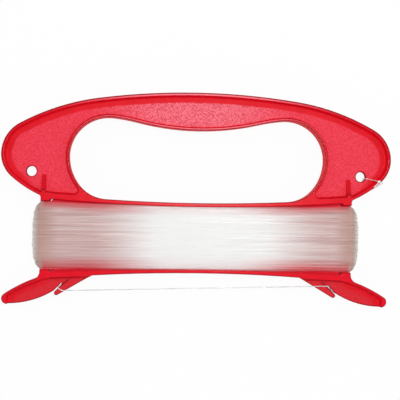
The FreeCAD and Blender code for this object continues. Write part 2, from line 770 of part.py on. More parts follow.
def round_edges(doc, body, v):
    """Breaks the sharp outer edges of every crest."""
    shape = body.Shape
    post = v.post_depth / 2

    def is_crest(face):
        if not isinstance(face.Surface, Part.Plane) or abs(face.normalAt(0, 0).z) < 0.95:
            return False
        height = face.CenterOfMass.z
        return height > v.half_web + v.crest_round and abs(height - post) > v.crest_round

    uses = {}
    for face in filter(is_crest, shape.Faces):
        for edge in face.Edges:
            uses[edge.hashCode()] = uses.get(edge.hashCode(), 0) + 1

    def on_rim(edge):
        ends = [vertex.Point for vertex in edge.Vertexes]
        in_middle = all(abs(end.x) < 1e-4 for end in ends)
        return uses.get(edge.hashCode()) == 1 and not in_middle

    base = (body.Tip, edges_where(shape, on_rim))
    feature(doc, body, "Fillet", "CrestRound", None, Base=base, Radius="=Sizes.crest_round")


# ---- line -----------------------------------------------------------------------------------


def winding_section(body, v):
    """Cross-section of the winding beside the posts: a bulge that thins out at both edges."""
    low, high = v.post_bottom + v.winding_clearance, v.post_top - v.winding_clearance
    low_size = f"{POST_BOTTOM} + Sizes.winding_clearance"
    high_size = f"{POST_TOP} - Sizes.winding_clearance"
    inner, inner_size = v.post_depth / 2, "Sizes.post_depth / 2"
    edge, edge_size = inner + v.winding_edge, f"{inner_size} + Sizes.winding_edge"
    outer, outer_size = v.winding_depth, WINDING_DEPTH
    rise = v.winding_thickness - v.winding_edge
    bulge = (v.winding_shoulder**2 + rise**2) / (2 * rise)
    centre = outer - bulge
    shoulder = v.winding_shoulder
    chain = Chain(body, "WindingSection", point(high, inner), "YZ_Plane")
    chain.line(point(low, inner), sizes=[across(low_size), up(inner_size)])
    chain.line(point(low, edge), sizes=[across(low_size), up(edge_size)])
    lower = [across(f"{low_size} + Sizes.winding_shoulder", 1), up(outer_size, 1)]
    chain.arc(point(low + shoulder, centre), point(low + shoulder, outer), -1, True, lower)
    level = [across(f"{high_size} - Sizes.winding_shoulder"), up(outer_size)]
    chain.line(point(high - shoulder, outer), True, level)
    upper = [across(high_size, 1), up(edge_size, 1)]
    chain.arc(point(high - shoulder, centre), point(high, edge), -1, False, upper)
    chain.line(point(high, inner), sizes=[across(high_size), up(inner_size)])
    return chain.close()


def winding_path(body, v):
    """Once round both posts, close to their rounded corners."""
    bend, bend_size = 0.8 * v.post_round, "0.8 * Sizes.post_round"
    x, z = v.post_outer, v.post_depth / 2
    z_size = "Sizes.post_depth / 2"
    chain = Chain(body, "WindingPath", point(0, z), "XZ_Plane")
    chain.line(point(x - bend, z), True, [FLAT, on_axis(1), up(z_size)])
    rounded = [radius(bend_size)]
    chain.arc(point(x - bend, z - bend), point(x, z - bend), -1, sizes=rounded)
    chain.line(point(x, bend - z), True, [UPRIGHT, across(POST_OUTER)])
    chain.arc(point(x - bend, bend - z), point(x - bend, -z), -1, sizes=rounded)
    chain.line(point(bend - x, -z), True, [FLAT, up(f"-{z_size}")])
    chain.arc(point(bend - x, bend - z), point(-x, bend - z), -1, sizes=rounded)
    chain.line(point(-x, z - bend), True, [UPRIGHT, across(f"-{POST_OUTER}")])
    chain.arc(point(bend - x, z - bend), point(bend - x, z), -1, sizes=rounded)
    chain.line(point(0, z), False, [FLAT])
    return chain.close()


def deck_clearance(body, name, v, side):
    """What the winding leaves free along the upper (side 1) or lower (side -1) deck's edge."""
    beyond = 1.0
    if side > 0:
        centre, centre_size = v.window_top, "Sizes.window_top_radius"
        circle, circle_size = v.window_top_radius, "Sizes.window_top_radius"
        far, far_size = v.post_top + beyond, f"{POST_TOP} + {beyond}"
    else:
        centre, circle = v.window_bottom, v.window_bottom_radius
        centre_size = "-Sizes.channel_height - Sizes.window_bottom_radius"
        circle_size = "Sizes.window_bottom_radius"
        far, far_size = v.post_bottom - beyond, f"{POST_BOTTOM} - {beyond}"
    circle += v.winding_clearance
    x = v.window_side * side
    end_y = centre.y - side * math.sqrt(circle**2 - x**2)
    chain = Chain(body, name, point(-x, end_y))
    right, left = (WINDOW_SIDE, f"-{WINDOW_SIDE}")[::side], (f"-{WINDOW_SIDE}", WINDOW_SIDE)[::side]
    edge = [
        on_axis(3),
        up(centre_size, 3),
        radius(f"{circle_size} + Sizes.winding_clearance"),
        across(left[0], 1),
        across(right[0], 2),
    ]
    chain.arc(centre, point(x, end_y), 1, False, edge)
    chain.line(point(x, far), sizes=[UPRIGHT, up(far_size)])
    chain.line(point(-x, far), sizes=[FLAT])
    chain.line(point(-x, end_y), sizes=[UPRIGHT])
    return chain.close()


def line_winding(doc, v):
    """The wound line as one solid, which lies on the posts all the way round."""
    body = doc.addObject("PartDesign::Body", "Winding")
    body.Label = "line_winding"
    section, path = winding_section(body, v), winding_path(body, v)
    doc.recompute()
    edges = [f"Edge{number + 1}" for number in range(path.GeometryCount)]
    feature(doc, body, "AdditivePipe", "Turns", section, Spine=(path, edges))
    through = {"SideType": "Symmetric", "Length": f"=2 * {WINDING_DEPTH}"}
    feature(doc, body, "Pocket", "UpperClearance", deck_clearance(body, "UpperEdge", v, 1), **through)
    feature(doc, body, "Pocket", "LowerClearance", deck_clearance(body, "LowerEdge", v, -1), **through)
    bind_placement(body)
    return body


def rounded_route(name, points):
    """Straight runs joined by tangent arcs, as large as the runs allow; prints their radii."""
    edges, radii, at = [], [], points[0]
    for before, corner, after in zip(points, points[1:], points[2:]):
        into = (corner - before).normalize()
        out = (after - corner).normalize()
        half_turn = math.acos(into.dot(out)) / 2
        reach = 0.45 * min((corner - before).Length, (after - corner).Length)
        bend = reach / math.tan(half_turn)
        inwards = (out - into).normalize()
        middle = corner + inwards * (bend / math.cos(half_turn) - bend)
        first, last = corner - into * reach, corner + out * reach
        edges.append(Part.LineSegment(at, first).toShape())
        edges.append(Part.Arc(first, middle, last).toShape())
        radii.append(round(bend, 2))
        at = last
    edges.append(Part.LineSegment(at, points[-1]).toShape())
    print(name, "radii", radii)
    return Part.Wire(edges)


def line_tube(doc, v, name, points):
    """A length of line along a route; it keeps its volume wherever it bends."""
    path = rounded_route(name, points)
    start = path.Edges[0]
    section = Part.Circle(points[0], start.tangentAt(start.FirstParameter), v.line_diameter / 2)
    tube = path.makePipeShell([Part.Wire(section.toShape())], True, False)
    wanted = math.pi * v.line_diameter**2 / 4 * path.Length
    print(name, "length", round(path.Length, 3), "volume ratio", round(tube.Volume / wanted, 5))
    made = doc.addObject("Part::Feature", name)
    made.Shape = tube
    made.Placement = row_placement(v)
    return made


def anchor_knot(doc, v):
    """The knot in front of the rim, with flat ends where the loop enters it."""
    barrel = doc.addObject("Part::Cylinder", "KnotBarrel")
    barrel.setExpression("Radius", "Sizes.knot_radius")
    barrel.setExpression("Height", "Sizes.knot_length")
    doc.recompute()
    knot = doc.addObject("Part::Fillet", "anchor_knot")
    knot.Base = barrel
    rims = [i for i, edge in enumerate(barrel.Shape.Edges, 1) if not edge.BoundBox.ZLength > 1e-6]
    knot.Edges = [(number, v.knot_round, v.knot_round) for number in rims]
    axis = point(*KNOT_AXIS).normalize()
    middle = row_placement(v).multVec(point(*KNOT_PLACE))
    turn = FreeCAD.Rotation(Z, axis)
    knot.Placement = FreeCAD.Placement(middle - axis * (v.knot_length / 2), turn)
    return knot


def anchor_points(v):
    """The loop's route, from the knot's outer end round the rim to its inner end."""
    axis = point(*KNOT_AXIS).normalize() * (v.knot_length / 2)
    middle = point(*KNOT_PLACE)
    return [middle + axis] + [point(*place) for place in ANCHOR_ROUTE] + [middle - axis]


def main():
    doc = FreeCAD.newDocument("KiteLineWinder")
    sheet = doc.addObject("Spreadsheet::Sheet", "Sizes")
    for row, (name, value) in enumerate(SIZES.items(), 1):
        sheet.set(f"A{row}", name)
        sheet.set(f"B{row}", str(value))
        sheet.setAlias(f"B{row}", name)
    doc.recompute()
    v = Values(sheet)
    parts = [
        winder_frame(doc, v),
        line_winding(doc, v),
        line_tube(doc, v, "line_tail", [point(*place) for place in TAIL_ROUTE]),
        line_tube(doc, v, "anchor_loop", anchor_points(v)),
        anchor_knot(doc, v),
    ]
    doc.recompute()
    for obj in doc.Objects:
        if "Invalid" in obj.State or "Error" in obj.State:
            raise RuntimeError(f"{obj.Name} failed: {obj.State}")
    for part in parts:
        if part.Shape.isNull() or not part.Shape.isValid():
            raise RuntimeError(f"{part.Label} has no valid shape")
    os.makedirs("parts", exist_ok=True)
    for part in parts:
        part.Shape.exportStep(f"parts/{part.Label}.step")
        print(part.Label, len(part.Shape.Solids), "solid", round(part.Shape.Volume, 2), "mm3")


main()
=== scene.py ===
import math
import random

import bmesh
import bpy
from mathutils import Matrix, Vector


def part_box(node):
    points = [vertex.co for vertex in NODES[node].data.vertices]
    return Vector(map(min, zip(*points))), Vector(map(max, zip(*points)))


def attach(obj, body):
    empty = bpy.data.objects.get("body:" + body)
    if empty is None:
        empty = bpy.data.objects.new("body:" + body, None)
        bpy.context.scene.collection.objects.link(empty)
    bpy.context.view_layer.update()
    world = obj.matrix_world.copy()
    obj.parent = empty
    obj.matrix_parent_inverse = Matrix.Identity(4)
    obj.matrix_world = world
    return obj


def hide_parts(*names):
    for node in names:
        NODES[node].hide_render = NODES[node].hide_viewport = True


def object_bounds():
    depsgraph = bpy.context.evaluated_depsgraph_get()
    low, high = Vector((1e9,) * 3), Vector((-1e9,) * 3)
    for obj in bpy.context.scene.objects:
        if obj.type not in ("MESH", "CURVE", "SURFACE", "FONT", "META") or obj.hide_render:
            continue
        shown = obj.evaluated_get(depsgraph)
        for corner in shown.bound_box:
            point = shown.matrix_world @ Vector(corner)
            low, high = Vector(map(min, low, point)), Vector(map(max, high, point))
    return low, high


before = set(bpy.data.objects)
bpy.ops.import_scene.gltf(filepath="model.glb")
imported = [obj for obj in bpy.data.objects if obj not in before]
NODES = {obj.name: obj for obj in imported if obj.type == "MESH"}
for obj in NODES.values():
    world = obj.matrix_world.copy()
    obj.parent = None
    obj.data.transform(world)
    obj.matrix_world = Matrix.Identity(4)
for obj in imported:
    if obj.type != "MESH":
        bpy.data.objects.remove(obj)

CAD_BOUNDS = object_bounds()

# ---- named values, in metres ----------------------------------------------------------------

SCENE = bpy.context.scene
LINE = 0.0004
MID_LEVEL = 0.0059
HALF_DEPTH = 0.004
WEB_HALF = 0.001
HOLE_X, HOLE_Y, HOLE_RADIUS = 0.07005, 0.0107, 0.0021

# an oval along the middle of the web round the hand opening
OPENING_MIDDLE = 0.012
WEB_OVAL_X, WEB_OVAL_Y = 0.068, 0.0245

# the outline's arcs, each with its centre and radius, and where one hands over to the next
CROWN_Y, CROWN_RADIUS, CROWN_END_X = -0.245, 0.290, 0.042
SHOULDER_X, SHOULDER_Y, SHOULDER_RADIUS, SHOULDER_END_X = 0.02817, -0.05252, 0.09547, 0.075
EAR_Y = 0.0178
EAR_UPPER_X, EAR_UPPER_RADIUS = 0.0677, 0.0148
EAR_LOWER_X, EAR_LOWER_RADIUS = 0.0699, 0.0126
HORN_BELLY_X, HORN_BELLY_Y, HORN_BELLY_RADIUS = 0.0792, -0.009, 0.036
HORN_ROOT_X, HORN_ROOT_Y = 0.062, -0.032

# how wide the painted bands are, and how softly each ends: the deep red band of painted shade
# from the outline inwards, and the dark ones of painted shade at the edges
RIM_SHADE_BAND, RIM_SHADE_BLUR = 0.0041, 0.0003
DARK_BAND, DARK_BLUR = 0.0004, 0.0002
SEAM_BLUR = 0.0005

# how far a corner's walls and an edge's plastic are felt, for the painted shade in corners and beside
# edges
CORNER_REACH = 0.0042
EDGE_REACH = 0.0007

# the view: a little from the left, straight down on the front, with a slight roll
VIEW_DISTANCE = 0.400
VIEW_LENS = 85.3
VIEW_YAW = math.radians(3.67)
VIEW_ROLL = math.radians(0.954)
VIEW_TARGET = Vector((0.00089, -0.00032, 0.0099))

# the winding, worked out from its CAD node, and the window that it spans
WIND_LOW, WIND_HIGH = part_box("line_winding")
POST_HALF_DEPTH = 0.0022
POST_CORNER = 0.0012
WIND_THICK = (WIND_HIGH.z - WIND_LOW.z) / 2 - POST_HALF_DEPTH
POST_OUTER = WIND_HIGH.x - WIND_THICK
WIND_SHOULDER = 0.0061
WIND_EDGE = 0.0003
WINDOW_SIDE = 0.0606  # the CAD's is 0.0614
WINDOW_TOP, WINDOW_TOP_RADIUS = -0.0033, 0.8
WINDOW_BOTTOM, WINDOW_BOTTOM_RADIUS = -0.0299, 1.4
WINDOW_CORNER = 0.0008
WIND_CLEARANCE = 0.0004
POST_TOP = WIND_HIGH.y + WIND_CLEARANCE
POST_BOTTOM = WIND_LOW.y - WIND_CLEARANCE
DECK_GAP = 0.00002

# the turns in the bends round the posts: how far they fall in, and how bumpy they are
BEND_START = 0.002
BEND_HOLLOW, BEND_HOLLOW_EDGE = 0.00042, 0.009
BUMPS_LEFT, BUMPS_RIGHT = 0.0003, 0.00014

# the outer turns: the depth and pitch of each layer, and how much a turn strays
LAYERS = ((0.0, 0.00038), (0.0003, 0.00042))
LEVEL_STRAY, SLOPE_STRAY, DEPTH_STRAY = 0.0001, 0.005, 0.00006

# the crossing turns, which touch the decks at places spread over a fan
CROSSINGS = 22
FAN_REACH, FAN_LOWER_SHARE = 0.0245, 0.65
FAN_DROP, FAN_DEPTH = 0.0006, 0.0003

# the core, just under the outer turns, and where it meets the posts
CORE_INSET = LINE * 0.9
CORE_STEPS = 28
CORE_LEAST, CORE_ON_POST = 0.00005, 0.00002
SIDE_STEPS, BEND_STEPS = 24, 4

# the middle of the winding, burnt out white by a painted glare, and where that fades into the line's
# own colour
GLARE_X = 0.0055
GLARE_FULL, GLARE_END, GLARE_STRAY = 0.018, 0.052, 0.024

# the parked tail, through the same points as its CAD tube
TAIL_ROUTE = [
    (-0.03800, -0.02690, 0.00040),
    (-0.04430, -0.02870, 0.00110),
    (-0.05000, -0.03120, 0.00160),
    (-0.05390, -0.03440, 0.00165),
    (-0.05815, -0.03785, 0.00410),
    (-0.05840, -0.03808, 0.00765),
    (-0.05685, -0.03940, 0.00735),
    (-0.05465, -0.03934, 0.00736),
    (0.05445, -0.03636, 0.00764),
    (0.05665, -0.03630, 0.00765),
    (0.05795, -0.03765, 0.00570),
    (0.05890, -0.03875, 0.00390),
    (0.06135, -0.03995, 0.00340),
]

# the knot of the anchor loop: its turns round an axis, and its short cut end
KNOT_LOW, KNOT_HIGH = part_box("anchor_knot")
KNOT_AXIS = Vector((0.95, -0.31, -0.03)).normalized()
KNOT_WRAPS, KNOT_RADIUS, KNOT_LENGTH, KNOT_STEPS = 3.5, 0.00034, 0.0009, 42
KNOT_CUT_END = [
    (0.0001, 0.0, 0.0003),
    (-0.0006, -0.0009, 0.0001),
    (-0.0012, -0.0017, -0.0003),
    (-0.0019, -0.0024, -0.00035),
]

# the lights: each lamp's place, size and power, and how bright world and floor are
LAMPS = {
    "flash": ((0.034, 0.05, 0.46), 0.12, 0.8),
    "left_soft": ((-0.45, 0.1, 0.35), 0.4, 0.35),
    "right_soft": ((0.45, 0.1, 0.35), 0.4, 0.35),
}
LAMP_AIM = Vector((0.0, 0.0, MID_LEVEL))
WORLD_LIGHT, WORLD_SEEN = 0.55, 1.0
FLOOR_HALF, FLOOR_GAP, FLOOR_GLOW = 1.5, 0.0002, 0.94


# ---- shader helpers -------------------------------------------------------------------------


class Nodes:
    """A node tree, with short ways to add to it."""

    def __init__(self, tree):
        self.tree = tree

    def add(self, kind, **settings):
        """A new shader node with these settings."""
        node = self.tree.nodes.new(f"ShaderNode{kind}")
        for key, value in settings.items():
            setattr(node, key, value)
        return node

    def join(self, source, target):
        self.tree.links.new(source, target)

    def feed(self, source, socket):
        """Links an output, or sets a plain value."""
        if isinstance(source, bpy.types.NodeSocket):
            self.join(source, socket)
        else:
            socket.default_value = source

    def math(self, operation, a, b=0.0):
        node = self.add("Math", operation=operation)
        self.feed(a, node.inputs[0])
        self.feed(b, node.inputs[1])
        return node.outputs[0]

    def product(self, result, *factors):
        """All of these multiplied."""
        for factor in factors:
            result = self.math("MULTIPLY", result, factor)
        return result

    def fade(self, value, low, high, start=0.0, end=1.0):
        """A smooth step: start where value is up to low, and end where it is from high."""
        node = self.add("MapRange", interpolation_type="SMOOTHSTEP")
        for source, socket in zip((value, low, high, start, end), node.inputs):
            self.feed(source, socket)
        return node.outputs[0]

    def until(self, value, low, high):
        """1 up to low, and 0 from high."""
        return self.fade(value, low, high, 1.0, 0.0)

    def past(self, value, limit, blur=SEAM_BLUR):
        """1 past a limit, and 0 before it."""
        return self.fade(value, limit - blur, limit + blur)

    def before(self, value, limit, blur=SEAM_BLUR):
        """1 before a limit, and 0 past it."""
        return self.until(value, limit - blur, limit + blur)

    def mix(self, factor, a, b):
        """A colour between a and b."""
        node = self.add("Mix", data_type="RGBA")
        for source, socket in zip((factor, a, b), (node.inputs[0], node.inputs[6], node.inputs[7])):
            self.feed(source, socket)
        return node.outputs[2]

    def mix_value(self, factor, a, b):
        """A number between a and b."""
        node = self.add("Mix", data_type="FLOAT")
        for source, socket in zip((factor, a, b), (node.inputs[0], node.inputs[2], node.inputs[3])):
            self.feed(source, socket)
        return node.outputs[0]


class Paint(Nodes):
    """A new material, whose look depends on the place on the object."""

    def __init__(self, name):
        self.material = bpy.data.materials.new(name)
        self.material.use_nodes = True
        super().__init__(self.material.node_tree)
        self.shader = self.tree.nodes["Principled BSDF"]
        self.place = self.add("TexCoord").outputs["Object"]

    def axes(self, source=None):
        """The x, y and z of a place or direction, by default of the place on the object."""
        node = self.add("SeparateXYZ")
        self.join(source or self.place, node.inputs[0])
        return node.outputs

    def crowded(self, reach, low, high, samples, inside=False):
        """1 where other faces of the object are near: in its corners, or inside, beside its edges."""
        node = self.add("AmbientOcclusion", samples=samples, only_local=True, inside=inside)
        node.inputs["Distance"].default_value = reach
        return self.until(node.outputs["AO"], low, high)

    def noise(self, scale, detail=2.0, roughness=0.5, stretch=(1, 1, 1)):
        """Noise whose features are about 1 / scale metres across, divided by stretch."""
        mapping = self.add("Mapping")
        mapping.inputs["Scale"].default_value = stretch
        self.join(self.place, mapping.inputs["Vector"])
        node = self.add("TexNoise")
        self.join(mapping.outputs[0], node.inputs["Vector"])
        node.inputs["Scale"].default_value = scale
        node.inputs["Detail"].default_value = detail
        node.inputs["Roughness"].default_value = roughness
        return node.outputs["Fac"]

    def bump(self, height, strength, distance, after=None):
        """The normal that a height gives, on top of the normal after."""
        node = self.add("Bump")
        node.inputs["Strength"].default_value = strength
        node.inputs["Distance"].default_value = distance
        self.feed(height, node.inputs["Height"])
        if after is not None:
            self.join(after, node.inputs["Normal"])
        return node.outputs["Normal"]

    def with_sockets(self, sockets):
        """The material, with each of these sockets of its shader linked or set."""
        for name, source in sockets.items():
            self.feed(source, self.shader.inputs[name])
        return self.material


def tone(red, green, blue):
    """A screen colour of 0 to 255, as the linear colour that shaders take."""
    shares = [value / 255 for value in (red, green, blue)]
    linear = [((c + 0.055) / 1.055) ** 2.4 if c > 0.04045 else c / 12.92 for c in shares]
    return (*linear, 1.0)


# ---- materials ------------------------------------------------------------------------------


class FramePlace:
    """Where a point of the frame lies, as the masks ask for it."""

    def __init__(self, m):
        self.x, self.y, z = m.axes()
        self.reach = m.math("ABSOLUTE", self.x)
        self.height = m.math("ABSOLUTE", m.math("SUBTRACT", z, MID_LEVEL))
        self.normal = m.axes(m.add("NewGeometry").outputs["True Normal"])
        self.facing = m.math("ABSOLUTE", self.normal[2])
        self.depth = inside_outline(m, self)


def distance(m, at, centre_x, centre_y):
    """How far a place lies from a centre on either side, seen from the front."""
    across = m.math("POWER", m.math("SUBTRACT", at.reach, centre_x), 2.0)
    up = m.math("POWER", m.math("SUBTRACT", at.y, centre_y), 2.0)
    return m.math("SQRT", m.math("ADD", across, up))


def inside_outline(m, at):
    """How far a place lies inside the outer arcs of crown, shoulders and ears."""
    arcs = (
        (0.0, CROWN_Y, CROWN_RADIUS),
        (SHOULDER_X, SHOULDER_Y, SHOULDER_RADIUS),
        (EAR_UPPER_X, EAR_Y, EAR_UPPER_RADIUS),
        (EAR_LOWER_X, EAR_Y, EAR_LOWER_RADIUS),
    )
    crown, shoulder, ear_upper, ear_lower = (
        m.math("SUBTRACT", radius, distance(m, at, centre_x, centre_y))
        for centre_x, centre_y, radius in arcs
    )
    on_shoulder = m.fade(at.reach, CROWN_END_X - 0.002, CROWN_END_X + 0.001)
    grip = m.mix_value(on_shoulder, crown, shoulder)
    ear = m.mix_value(m.past(at.y, EAR_Y), ear_lower, ear_upper)
    return m.mix_value(m.past(at.reach, SHOULDER_END_X), grip, ear)


def around_opening(m, at):
    """1 near the outer rims of grip and ears, 0 near the hand opening's lip."""
    across = m.math("DIVIDE", at.x, WEB_OVAL_X)
    up = m.math("DIVIDE", m.math("SUBTRACT", at.y, OPENING_MIDDLE), WEB_OVAL_Y)
    squares = m.math("ADD", m.math("POWER", across, 2.0), m.math("POWER", up, 2.0))
    return m.fade(squares, 1.08, 1.22)


def on_crest(m, at, none, full):
    """1 on the crests, down to full below their level, and 0 from none below it."""
    return m.fade(at.height, HALF_DEPTH - none, HALF_DEPTH - full)


def rim_shade_band(m, at, ragged):
    """1 on the band of painted shade inside the outer rim of crown, shoulders and ears, and in the
    ears' lower corners where walls are near: the rims' deep red carried onto the web.
    """
    depth = m.math("ADD", at.depth, m.product(m.math("SUBTRACT", ragged, 0.5), 0.0008))
    upper = m.product(m.before(depth, RIM_SHADE_BAND, RIM_SHADE_BLUR), m.fade(at.y, 0.012, 0.016))
    lower = m.product(
        m.crowded(CORNER_REACH, 0.82, 0.88, samples=16),
        around_opening(m, at),
        m.until(at.y, 0.014, 0.018),
        m.fade(at.reach, 0.06, 0.066),
    )
    return m.math("MAXIMUM", upper, lower)


def turned_away(m, at):
    """1 on the rounds of those crests where the plastic ends, as seen from the front, which take
    painted shade.
    """
    rounded = m.product(
        m.fade(at.facing, 0.03, 0.1),
        m.until(at.facing, 0.9, 0.98),
        on_crest(m, at, 0.0005, 0.0003),
    )
    side = m.math("SUBTRACT", m.product(around_opening(m, at), 2.0), 1.0)
    rise = m.math("SUBTRACT", at.y, OPENING_MIDDLE)
    from_middle = m.math("ADD", m.product(at.normal[0], at.x), m.product(at.normal[1], rise))
    on_grip = m.fade(m.product(from_middle, side), 0.0, 0.003)
    sideways = m.product(at.normal[0], m.math("SIGN", at.x))
    on_horn = m.fade(m.math("ADD", sideways, at.normal[1]), -0.2, 0.0)
    horn = m.product(m.before(at.y, HORN_ROOT_Y), m.past(at.reach, HORN_ROOT_X))
    return m.product(rounded, m.mix_value(horn, on_grip, on_horn))


def round_holes(m, at):
    """1 round the holes in the ears, where painted shade darkens the holes' edges."""
    return m.before(distance(m, at, HOLE_X, HOLE_Y), HOLE_RADIUS + DARK_BAND, DARK_BLUR)


def along_bellies(m, at):
    """1 along the arcs of the horns' bellies, where painted shade darkens their edges."""
    from_centre = distance(m, at, HORN_BELLY_X, HORN_BELLY_Y)
    return m.product(
        m.past(from_centre, HORN_BELLY_RADIUS - DARK_BAND, DARK_BLUR),
        m.until(at.y, HORN_ROOT_Y - 0.003, HORN_ROOT_Y - 0.002),
        m.before(from_centre, HORN_BELLY_RADIUS + DARK_BAND, DARK_BLUR),
    )


def along_outline(m, at):
    """1 on the crests along the outline of crown, shoulders and ears, which take painted shade."""
    return m.product(
        m.until(at.depth, DARK_BAND, DARK_BAND + SEAM_BLUR),
        on_crest(m, at, 0.0006, 0.0004),
        m.fade(at.y, 0.004, 0.012),
    )


def beside_edges(m, at):
    """1 beside the edges of the horns' crests and hooks, and 0.6 beside those of the other crests: how
    much painted shade darkens them.
    """
    hook = m.product(
        m.fade(at.height, WEB_HALF - 0.0002, WEB_HALF - 0.0001),
        m.until(at.height, WEB_HALF + 0.0001, WEB_HALF + 0.0002),
        m.until(at.y, HORN_ROOT_Y - 0.002, HORN_ROOT_Y - 0.001),
    )
    return m.product(
        m.crowded(EDGE_REACH, 0.72, 0.9, samples=8, inside=True),
        m.math("MAXIMUM", on_crest(m, at, 0.0003, 0.0001), hook),
        m.fade(at.y, HORN_ROOT_Y - 0.002, HORN_ROOT_Y, 1.0, 0.6),
    )


def painted_edge_shade(m, at):
    """1 where painted shade darkens the plastic's edges."""
    edges = turned_away(m, at)
    for mask in (round_holes, along_bellies, along_outline, beside_edges):
        edges = m.math("MAXIMUM", edges, mask(m, at))
    return edges


def frosted_red(m, at, grain):
    """The web's red: palest in the middle of the grip, where a painted sheen pales it, and deeper on
    the horns.
    """
    coarse = m.fade(grain, 0.32, 0.68)
    # a painted sheen, as from the flash, pales the middle of the grip
    middle = m.until(at.reach, 0.01, 0.05)
    frost = m.mix(middle, tone(222, 34, 54), tone(214, 50, 72))
    pale_frost = m.mix(middle, tone(242, 68, 90), tone(255, 132, 148))
    upper_red = m.mix(coarse, frost, pale_frost)
    horn_red = m.mix(coarse, tone(208, 20, 34), tone(222, 40, 54))
    return m.mix(m.fade(at.y, HORN_ROOT_Y, HORN_ROOT_Y + 0.004), horn_red, upper_red)


def glossy_red(m, at, mottle):
    """The rims' red: painted shade deepens it on the gussets, a painted highlight pales the crown's
    crest, and painted light pales the channel's lower wall.
    """
    # painted shade on the gussets' tilted faces
    gusset = m.product(
        m.fade(at.facing, 0.87, 0.9),
        m.until(at.facing, 0.94, 0.96),
        m.fade(at.y, -0.003, -0.001),
    )
    # a painted highlight along the crown's crest
    crown = m.product(
        on_crest(m, at, 0.0004, 0.0001),
        m.fade(at.facing, 0.85, 0.95),
        m.fade(at.y, 0.024, 0.028),
        m.until(at.reach, 0.02, 0.065),
    )
    # painted light on the channel's lower wall, which lies in the winding's shadow
    lower_wall_light = m.product(
        m.until(at.facing, 0.1, 0.3),
        m.past(at.y, HORN_ROOT_Y),
        m.until(at.y, -0.029, -0.028),
        m.fade(at.normal[1], 0.5, 0.8),
    )
    red = m.mix(m.fade(mottle, 0.3, 0.7), tone(220, 0, 26), tone(228, 4, 34))
    red = m.mix(gusset, red, tone(206, 4, 26))
    red = m.mix(crown, red, tone(255, 104, 122))
    return m.mix(lower_wall_light, red, tone(255, 84, 104))


def frame_red():
    """Red moulded plastic: a finely frosted web between deep red, glossy rims, with painted shade on
    the edges and beside the rims, and painted highlights on the crown and the grip's middle.
    """
    m = Paint("frame_red")
    at = FramePlace(m)
    grain = m.noise(1700, 3.0, 0.7)
    mottle = m.noise(260, 2.0)
    flat = m.fade(at.facing, 0.9, 0.97)
    web = m.product(flat, m.until(at.height, WEB_HALF + 0.00005, WEB_HALF + 0.0002))
    # the web takes the frosted red, except on the band of painted shade, which takes the rims' deep red
    frosted = m.product(web, m.math("SUBTRACT", 1.0, rim_shade_band(m, at, mottle)))
    red = m.mix(frosted, glossy_red(m, at, mottle), frosted_red(m, at, grain))
    rough_side = m.fade(at.facing, 0.85, 0.97, 0.6, 0.24)
    pits = m.bump(m.product(web, grain), 0.5, 0.0001)
    return m.with_sockets({
        # painted shade: the plastic's edges darkened to a deep wine red
        "Base Color": m.mix(painted_edge_shade(m, at), red, tone(160, 0, 22)),
        "Roughness": m.math("MAXIMUM", rough_side, m.product(web, 0.48)),
        "Specular IOR Level": 0.14,
        "Normal": m.bump(m.noise(140, 1.0), 0.06, 0.0002, pits),
        "Subsurface Weight": 0.1,
        "Subsurface Radius": (0.0016, 0.0002, 0.0002),
        "Subsurface Scale": 1.0,
    })


def red_fringe(m, x, y, width, share):
    """How red the crossbars shine through: at the window's edges, least in its middle."""
    reach = m.math("ABSOLUTE", x)
    squared = m.product(x, x)
    rise = m.product(squared, 0.5 / WINDOW_TOP_RADIUS)
    fall = m.product(squared, 0.5 / WINDOW_BOTTOM_RADIUS)
    below_top = m.math("ADD", m.math("SUBTRACT", WINDOW_TOP, y), rise)
    above_bottom = m.math("ADD", m.math("SUBTRACT", y, WINDOW_BOTTOM), fall)
    at_top = m.until(below_top, LINE, width)
    at_bottom = m.until(above_bottom, LINE, width * 1.4)
    return m.product(
        m.math("MAXIMUM", at_top, at_bottom),
        m.fade(reach, 0.012, 0.05, 0.12 * share, share),
        m.until(reach, POST_OUTER - 0.002, POST_OUTER),
    )


def line_shade(m, fringe_width, fringe_share):
    """The wound line's colour, from a painted glare, white in the middle, to rosy brown, and the
    streaks in it.
    """
    x, y, _ = m.axes()
    reach = m.math("ABSOLUTE", x)
    streaks = m.noise(1.0, 3.0, 0.6, (28, 2300, 260))
    wide_streaks = m.noise(1.0, 2.0, 0.5, (14, 900, 120))
    stray = m.product(m.math("SUBTRACT", streaks, 0.5), GLARE_STRAY)
    from_glare = m.math("ADD", m.math("ABSOLUTE", m.math("SUBTRACT", x, GLARE_X)), stray)
    rosy = m.mix(m.fade(wide_streaks, 0.35, 0.65), tone(208, 168, 165), tone(230, 202, 198))
    # a painted glare: white in the middle, fading into the line's rosy colour
    body = m.mix(m.fade(from_glare, GLARE_FULL, GLARE_END), tone(255, 253, 251), rosy)
    inside = m.mix(m.fade(reach, POST_OUTER - 0.009, POST_OUTER - 0.001), body, tone(202, 158, 148))
    bends = m.mix(m.fade(reach, POST_OUTER, WIND_HIGH.x), tone(188, 158, 146), tone(238, 230, 220))
    colour = m.mix(m.fade(reach, POST_OUTER - 0.0004, POST_OUTER + 0.0012), inside, bends)
    fringe = red_fringe(m, x, y, fringe_width, fringe_share)
    return m.mix(fringe, colour, tone(228, 40, 60)), streaks


def line_wound():
    """Clear monofilament, wound in layers."""
    m = Paint("line_wound")
    colour, streaks = line_shade(m, 0.0052, 0.95)
    return m.with_sockets({
        "Base Color": colour,
        "Roughness": 0.3,
        "Specular IOR Level": 1.0,
        "Normal": m.bump(streaks, 0.2, 0.00004),
        "Subsurface Weight": 0.3,
        "Subsurface Radius": (0.002, 0.0016, 0.0014),
        "Subsurface Scale": 1.0,
    })


